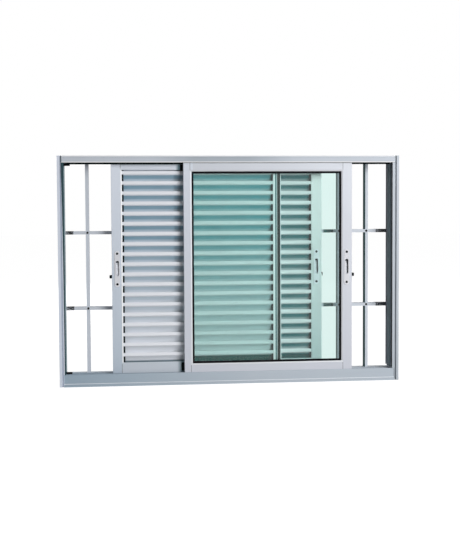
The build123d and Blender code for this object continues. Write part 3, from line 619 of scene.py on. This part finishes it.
# closed mesh from points and quads: poles and seams are merged, then all faces turned outwards
def makePiece(name, points, quads, material, slot, smooth=True):
    mesh = bpy.data.meshes.new(name)
    mesh.from_pydata(points.tolist(), [], quads.tolist())
    work = bmesh.new()
    work.from_mesh(mesh)
    bmesh.ops.remove_doubles(work, verts=work.verts, dist=1e-6)
    bmesh.ops.recalc_face_normals(work, faces=work.faces)
    work.to_mesh(mesh)
    work.free()
    mesh.polygons.foreach_set("use_smooth", np.full(len(mesh.polygons), smooth))
    mesh.materials.append(material)
    piece = bpy.data.objects.new(name, mesh)
    scene.collection.objects.link(piece)
    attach(piece, "root")


bristleLook = {
    "rowLength": 0.004, "leastRows": 8, "columns": 14,
    "archDrop": 0.9,                                     # how much lower the strip is at its edges
    "ragged": (0.14, 0.06),                              # random shares of the height and of the width
}


# strip of bristles: across the width the height follows a flat arch 1 - 0.9 |t|^6, and every row along the
# length is roughened by its own random lengths; both ends close on their middle. Width lies along Y,
# bristles point along X by side, and the strip runs up Z
def bristleStrip(x, side, yMiddle, width, height, low, high, seed):
    rows, columns = max(int((high - low) / bristleLook["rowLength"]), bristleLook["leastRows"]), bristleLook["columns"]
    rng = np.random.default_rng(seed)
    t = np.linspace(-1, 1, columns - 2)
    arch = height * (1 - np.abs(t) ** 6 * bristleLook["archDrop"])
    across = np.concatenate(([-1.0], t, [1.0])) * width / 2
    up = np.concatenate(([0.0], arch, [0.0]))
    points = np.empty((rows + 2, columns, 3))
    raggedUp, raggedAcross = (1 - share * rng.random((rows, columns)) for share in bristleLook["ragged"])
    points[1:-1, :, 0] = x + side * up * raggedUp
    points[1:-1, :, 1] = yMiddle + across * raggedAcross
    points[1:-1, :, 2] = np.linspace(low, high, rows)[:, None]
    points[0] = (x + side * height / 2, yMiddle, low)
    points[-1] = (x + side * height / 2, yMiddle, high)
    return points.reshape(-1, 3), ringQuads(rows + 2, columns)


# several meshes counted on into one
def gathered(shapes):
    counts = np.cumsum([0] + [len(points) for points, quads in shapes[:-1]])
    return (np.concatenate([points for points, quads in shapes]),
            np.concatenate([quads + count for (points, quads), count in zip(shapes, counts)]))


pilePlan = {
    "fins": ((0.0327, 0.7274, 0.0052), (0.0617, 0.7258, 0.0080), (0.0907, 0.7258, 0.0082)),    # depth, middle X, width
    "finHeight": 0.0018, "finGap": 0.0001,
    "endGap": 0.003,                                     # from the sill and from the head
    "grooveWidth": 0.0068, "grooveHeight": 0.0062,       # brush in the groove of a shutter's meeting stile
    "grooveX": (0.21925, -0.32525),                      # left shutter, right shutter
    "grooveDepth": 0.0049, "grooveSeed": 20,
    "padWidth": 0.0058, "padReach": 0.014, "padX": -0.2055, "padDepth": 0.0035, "padSeed": 40,
    "padHeights": ((0.934, 0.962), (0.058, 0.094)),
    "headSpan": 0.7165, "headDepth": 0.0314, "headWidth": 0.0022, "headTop": 0.9715, "headReach": 0.0085,
    "headSeed": 60,
    "combSpans": ((1, -0.473, 0.1905), (2, -0.2965, 0.367)),     # track, and between which stiles the slats run
    "combWidth": 0.0075, "combDepths": (0.0034, 0.0075), "combHeights": (0.098, 0.9385),
}


# box between two corners, as eight points and six faces
def boxShape(low, high):
    x, y, z = np.meshgrid(*zip(low, high), indexing="ij")
    points = np.stack((x, y, z), axis=-1).reshape(-1, 3)
    quads = np.array(((0, 1, 3, 2), (4, 6, 7, 5), (0, 4, 5, 1), (2, 3, 7, 6), (0, 2, 6, 4), (1, 5, 7, 3)))
    return points, quads


# brush seals: black on the jambs' first fins and grey on the other two, black in the two meeting stiles, on the
# head's first fin and as pads behind the glass leaf's stile; and the black strips that hold the slats' ends. The jambs'
# seals also paint the shade in their pockets, the head's seal paints the shadow line under the head, and the strips
# paint the dark shade at the slats' ends
def makePile(plan):
    low, high = leafPlan["sillTop"] + plan["endGap"], leafPlan["headUnderside"] - plan["endGap"]

    # the bristles point into the room here, so a strip is made along X and turned a quarter about Z
    def towardsRoom(x, y, width, height, seed):
        points, quads = bristleStrip(0.0, 1, 0.0, width, height, low, high, seed)
        return np.stack((x + points[:, 1], y - points[:, 0], points[:, 2]), axis=1), quads

    fins = [(side * x, roomFace + depth + plan["finGap"], width)
            for side in (1, -1) for depth, x, width in plan["fins"]]
    shapes = [towardsRoom(*fin, plan["finHeight"], seed) for seed, fin in enumerate(fins)]
    # the jambs' seals, black on the first fins and grey-teal on the others, also paint the shade deep in the pockets
    makePiece("jambSealsAndShade", *gathered(shapes[::3]), blackPile, "gasket_rubber")
    makePiece("jambSealsAndShadeMiddle", *gathered(shapes[1::3] + shapes[2::3]), greyPile, "gasket_rubber")
    grooves = roomFace + leafPlan["depths"][1:] + plan["grooveDepth"]
    shapes = [towardsRoom(x, y, plan["grooveWidth"], plan["grooveHeight"], plan["grooveSeed"] + index)
              for index, (x, y) in enumerate(zip(plan["grooveX"], grooves))]
    makePiece("meetingPile", *gathered(shapes), blackPile, "gasket_rubber")
    behind = roomFace + leafPlan["depths"][0] + leafPlan["thickness"] + plan["padDepth"]
    size = (plan["padWidth"], plan["padReach"])
    shapes = [bristleStrip(plan["padX"], -1, behind, *size, foot, top, plan["padSeed"] + index)
              for index, (foot, top) in enumerate(plan["padHeights"])]
    makePiece("leafPads", *gathered(shapes), blackPile, "gasket_rubber")

    # the head's brush seal hangs below the lip, and also paints the shadow line under the head
    # turned so that the bristles hang and the strip runs along X
    points, quads = bristleStrip(0.0, 1, roomFace + plan["headDepth"], plan["headWidth"], plan["headReach"],
                                 -plan["headSpan"], plan["headSpan"], plan["headSeed"])
    points = np.stack((points[:, 2], points[:, 1], plan["headTop"] - points[:, 0]), axis=1)
    makePiece("headSealAndShadowLine", points, quads, blackPile, "gasket_rubber")
    # the black strips hold the slats' ends, and also paint the dark shade there
    combs, (foot, top) = [], plan["combHeights"]
    for track, left, right in plan["combSpans"]:
        near, far = (roomFace + leafPlan["depths"][track] + depth for depth in plan["combDepths"])
        for start in (left, right - plan["combWidth"]):
            combs.append(boxShape((start, near, foot), (start + plan["combWidth"], far, top)))
    makePiece("slatHoldersAndShade", *gathered(combs), blackNylon, "black_nylon", smooth=False)


latchPlan = {
    "plateLift": 0.0018, "plateReach": 0.0668,           # screws above and below the latch's middle
    # screw heads drawn broad, so that their dark also takes in the shade of the holes round them
    "screwRadius": 0.0052, "screwDome": 0.0015, "screwSink": 0.0006,
    "crossWidth": 0.0006, "crossReach": 0.0030, "crossDepth": 0.0005,
    "recessLift": 0.002, "recessRadius": 0.00728, "recessStraight": 0.053, "recessDepth": 0.0114,
    "cupWall": 0.0006,
    "cupRim": 0.0105, "cupFloor": 0.00081,               # heights over the floor of the recess
    "slideWidth": 0.0126, "slideLength": 0.050, "slideHeight": 0.0040, "slideDrop": 0.0060,
    "ribs": 9, "ribHeight": 0.0004, "ribSpan": 0.86,
    "tongue": (0.0112, 0.0070, 0.0058), "tongueRise": 0.0285,   # black thumb tongue at the top of the recess, which also paints the shade there
    "recessShade": (0.0030, 0.0100, 0.0560), "recessShadeShift": 0.0052,     # black block on the recess's right: painted shadow of its right wall
    "hood": (0.0125, 0.0110, 0.0150), "hoodDrop": 0.034,        # black nose round the catch: out, deep and high
    "hoodOut": 0.38,                                            # share of its reach from the leaf's edge to its middle
    "hoodForward": 0.002,                                       # from the middle of the leaf towards the room
    "hoodEdges": ((0, 0.539, 1), (1, -0.520, -1)),              # track, edge of the leaf, and the way it points
}


# outline of a slot with round ends, as X and Z round the loop: a circle pulled apart by the straight length
def slotOutline(radius, straight, columns):
    turn = np.linspace(0, 2 * math.pi, columns, endpoint=False)
    x = radius * np.sin(turn)
    z = radius * np.cos(turn) + np.sign(np.cos(turn)) * straight / 2
    return x, z


# screw head: a dome 1 - 0.6 r^2 with a cross cut into it where |x| or |z| is small, closed flat at the back
def screwHead(plan):
    rows, columns = 26, 48
    radius = np.concatenate((np.linspace(0, 1, rows - 2), (1.0, 0.0)))[:, None] * plan["screwRadius"]
    turn = np.linspace(0, 2 * math.pi, columns, endpoint=False)[None]
    x, z = radius * np.cos(turn), radius * np.sin(turn)
    rise = plan["screwDome"] * (1 - 0.6 * (radius / plan["screwRadius"]) ** 2) * np.ones_like(turn)
    inCross = (np.minimum(np.abs(x), np.abs(z)) < plan["crossWidth"]) & (radius < plan["crossReach"])
    rise = np.where(inCross, rise - plan["crossDepth"], rise)
    rise[-2:] = -plan["screwSink"]
    return np.stack((x, -rise, z), axis=-1).reshape(-1, 3), ringQuads(rows, columns)


# cup that lines the recess: a slot's outline is carried from the middle of the floor out, up the outside to the rim,
# down the inside and back to the middle
def latchCup(plan):
    columns, straight, rim, floor = 64, plan["recessStraight"], plan["cupRim"], plan["cupFloor"]
    outer, inner = plan["recessRadius"], plan["recessRadius"] - plan["cupWall"]
    steps = ((0.0, 0.0, 0.0), (outer, straight, 0.0), (outer, straight, rim),
             (inner, straight, rim), (inner, straight, floor), (0.0, 0.0, floor))
    loops = []
    for radius, length, rise in steps:
        x, z = slotOutline(radius, length, columns)
        loops.append(np.stack((x, np.full(columns, plan["recessDepth"] - rise), z), axis=1))
    return np.concatenate(loops), ringQuads(len(steps), columns)


# thumb slide: over a rectangle the height is (1 - u^8)(1 - v^8) with ribs cos(ribs pi v) across its middle;
# the rim lies on the floor of the recess, where a flat copy closes it
def thumbSlide(plan):
    rows, columns = 61, 25
    v, u = np.meshgrid(np.linspace(-1, 1, rows), np.linspace(-1, 1, columns), indexing="ij")
    body = (1 - u ** 8) * (1 - v ** 8)
    ribs = plan["ribHeight"] * np.cos(plan["ribs"] * math.pi * v) * (np.abs(v) < plan["ribSpan"]) * (1 - u ** 8)
    rise = body * plan["slideHeight"] + ribs * body
    top = np.stack((u * plan["slideWidth"] / 2, -rise, v * plan["slideLength"] / 2), axis=-1)
    bottom = top.copy()
    bottom[..., 1] = 0.0
    row, column = np.meshgrid(np.arange(rows - 1), np.arange(columns - 1), indexing="ij")
    first = row * columns + column
    quads = np.stack((first, first + 1, first + columns + 1, first + columns), axis=-1).reshape(-1, 4)
    return np.concatenate((top.reshape(-1, 3), bottom.reshape(-1, 3))), np.concatenate((quads, quads + rows * columns))


# rounded block: along each axis half the size times the sign of a sphere's coordinate and its size to the 0.45
def roundedBlock(size):
    rows, columns = 21, 40
    lean = np.linspace(-math.pi / 2, math.pi / 2, rows)[:, None]
    turn = np.linspace(0, 2 * math.pi, columns, endpoint=False)[None]
    level = np.cos(lean)
    ball = np.stack((level * np.cos(turn), level * np.sin(turn), np.sin(lean) * np.ones_like(turn)), axis=-1)
    ball[[0, -1], :, :2] = 0.0
    block = np.sign(ball) * np.abs(ball) ** 0.45 * np.array(size) / 2
    return block.reshape(-1, 3), ringQuads(rows, columns)


# on each latch: two dark screws, a pale cup in the recess, the slide that works the catch and its black tongue, which
# also paints the shade along the top of the recess, set out from the latch's middle; a black block that paints the
# shadow in the right of the recess of the glass leaf and of the right shutter, and a black nose on the catch of the
# glass leaf and of the left shutter
def dressLatches(plan):
    faces = roomFace + leafPlan["depths"]
    middles = [(x, y, leafPlan["latchHeight"]) for x, y in zip(leafPlan["latchX"], faces)]
    screws = [(x, y - plan["plateLift"], z + end * plan["plateReach"]) for x, y, z in middles for end in (-1, 1)]
    makePiece("latchScrews", *repeated(*screwHead(plan), screws), darkSteel, "latch_metal")
    recesses = [(x, y - plan["plateLift"], z + plan["recessLift"]) for x, y, z in middles]
    makePiece("latchCups", *repeated(*latchCup(plan), recesses), castSilver, "latch_metal", smooth=False)
    floors = [(x, y + plan["recessDepth"] - plan["cupWall"], z) for x, y, z in recesses]
    tongues = [(x, y - plan["tongue"][1] / 2, z + plan["tongueRise"]) for x, y, z in floors]
    makePiece("latchTonguesAndShade", *repeated(*roundedBlock(plan["tongue"]), tongues), blackNylon, "black_nylon")
    recessShades = [(x + plan["recessShadeShift"], y - plan["recessShade"][1] / 2, z) for x, y, z in floors[::2]]
    makePiece("latchRecessShadows", *repeated(*roundedBlock(plan["recessShade"]), recessShades), blackNylon, "black_nylon")
    halfway = leafPlan["thickness"] / 2 - plan["hoodForward"]
    hoods = [(edge + side * plan["hood"][0] * plan["hoodOut"], faces[track] + halfway,
              leafPlan["latchHeight"] - plan["hoodDrop"]) for track, edge, side in plan["hoodEdges"]]
    makePiece("catchNoses", *repeated(*roundedBlock(plan["hood"]), hoods), blackNylon, "black_nylon")
    slides = [(x, y, z - plan["slideDrop"]) for x, y, z in floors]
    makePiece("latchSlides", *repeated(*thumbSlide(plan), slides), castSilver, "latch_metal")


grillePlan = {
    "barPitch": 0.125, "barCount": 11, "railHeights": (1 / 3, 2 / 3), "railFront": 0.0933,
    "rivetRadius": 0.0052, "rivetDome": 0.0018, "rivetSink": 0.0004,
    # black blocks at the rails' ends that paint the jambs' shadows: left and right lengths, end, depths and half height
    "shadowReach": (0.032, 0.050), "shadowEnd": 0.7185, "shadowDepths": (0.0933, 0.1294), "shadowHalf": 0.0074,
}


# rivet on the rail at each crossing: a dome whose height is the square root of 1 - r^2, flat at the back;
# and a black block over each end of the rails, a painted shadow of the jambs, longer at the right end
def makeRivets(plan):
    rows, columns = 8, 20
    radius = np.concatenate((np.sin(np.linspace(0, math.pi / 2, rows - 2)), (1.0, 0.0)))[:, None]
    turn = np.linspace(0, 2 * math.pi, columns, endpoint=False)[None]
    rise = np.sqrt(np.clip(1 - radius ** 2, 0, 1)) * plan["rivetDome"] * np.ones_like(turn)
    rise[-2:] = -plan["rivetSink"]
    radius = radius * plan["rivetRadius"]
    head = np.stack((radius * np.cos(turn), -rise, radius * np.sin(turn)), axis=-1).reshape(-1, 3)
    bars = (np.arange(plan["barCount"]) - (plan["barCount"] - 1) / 2) * plan["barPitch"]
    places = [(x, roomFace + plan["railFront"], z) for z in plan["railHeights"] for x in bars]
    makePiece("grilleRivets", *repeated(head, ringQuads(rows, columns), places), darkSteel, "grille_aluminium")
    near, far = (roomFace + depth for depth in plan["shadowDepths"])
    end, (leftReach, rightReach) = plan["shadowEnd"], plan["shadowReach"]
    railShadows = [boxShape((x, near, z - plan["shadowHalf"]), (x + reach, far, z + plan["shadowHalf"]))
               for z in plan["railHeights"] for x, reach in ((-end, leftReach), (end - rightReach, rightReach))]
    makePiece("railEndShadows", *gathered(railShadows), blackNylon, "black_nylon", smooth=False)


gasketPlan = {
    "opening": (-0.1715, 0.492, 0.0915, 0.9315),         # clear opening of the glass leaf: left, right, low, high
    "reach": 0.0092,                                     # how far the lip comes in over the glass
    "face": 0.0141,                                      # depth of the gasket's front, from the room face
    "rise": 0.0012,
    "glassFace": 0.0169, "glassGap": 0.0001,
    "turn": 0.75,                                        # part of the reach from which the lip runs down to the glass
    "tuck": 0.96, "tuckDepth": 0.001,                    # where its underside starts, and where it ends behind the face
}


# lip of the gasket: a profile of reach inwards and depth, an arch sin(pi t) over the gasket's face that
# runs down to the glass, carried round the four sides with mitred corners
def makeGasketLip(plan):
    left, right, low, high = plan["opening"]
    t = np.linspace(0, 1, 12)
    inward = np.concatenate((t * plan["reach"], (plan["reach"] * plan["tuck"], 0.0)))
    down = np.clip((t - plan["turn"]) / (1 - plan["turn"]), 0, 1) ** 2
    front = plan["face"] - plan["rise"] * np.sin(math.pi * t) + (plan["glassFace"] - plan["face"]) * down
    depth = np.concatenate((front, (plan["glassFace"] - plan["glassGap"], plan["face"] + plan["tuckDepth"])))
    corners = []
    for x, z, towardsX, towardsZ in ((left, low, 1, 1), (right, low, -1, 1),
                                     (right, high, -1, -1), (left, high, 1, -1)):
        corners.append(np.stack((x + towardsX * inward, roomFace + depth, z + towardsZ * inward), axis=1))
    loops = np.stack(corners + corners[:1])
    makePiece("gasketLip", loops.reshape(-1, 3), ringQuads(5, len(inward)), blackRubber, "gasket_rubber")


jointPlan = {
    "leaves": ((0, -0.207, 0.0355, 0.047, 0.0605, 0.0495),       # track, left edge, stile widths, rail heights
               (1, -0.520, 0.047, 0.0355, 0.067, 0.0415),
               (2, -0.332, 0.0355, 0.047, 0.067, 0.0415)),
    "leafWidth": 0.746, "lip": 0.0065, "low": 0.031, "high": 0.981,
    "width": 0.0013, "proud": 0.00008, "deep": 0.0010, "endGap": 0.0005,
}


# hairline of grime in the joint where each rail's end meets the lip of a stile
def makeJoints(plan):
    shapes, lip, half, gap = [], plan["lip"], plan["width"] / 2, plan["endGap"]
    for track, left, leftStile, rightStile, lowRail, highRail in plan["leaves"]:
        face = roomFace + leafPlan["depths"][track]
        spans = ((plan["low"], plan["low"] + lowRail - lip), (plan["high"] - highRail + lip, plan["high"]))
        front, back = face - plan["proud"], face + plan["deep"]
        for x in (left + leftStile - lip, left + plan["leafWidth"] - rightStile + lip):
            for low, high in spans:
                shapes.append(boxShape((x - half, front, low + gap), (x + half, back, high - gap)))
    makePiece("jointLines", *gathered(shapes), blackNylon, "black_nylon", smooth=False)


makePile(pilePlan)
makeGasketLip(gasketPlan)
makeJoints(jointPlan)
dressLatches(latchPlan)
makeRivets(grillePlan)
print("stage: seals, screws, slides and rivets")
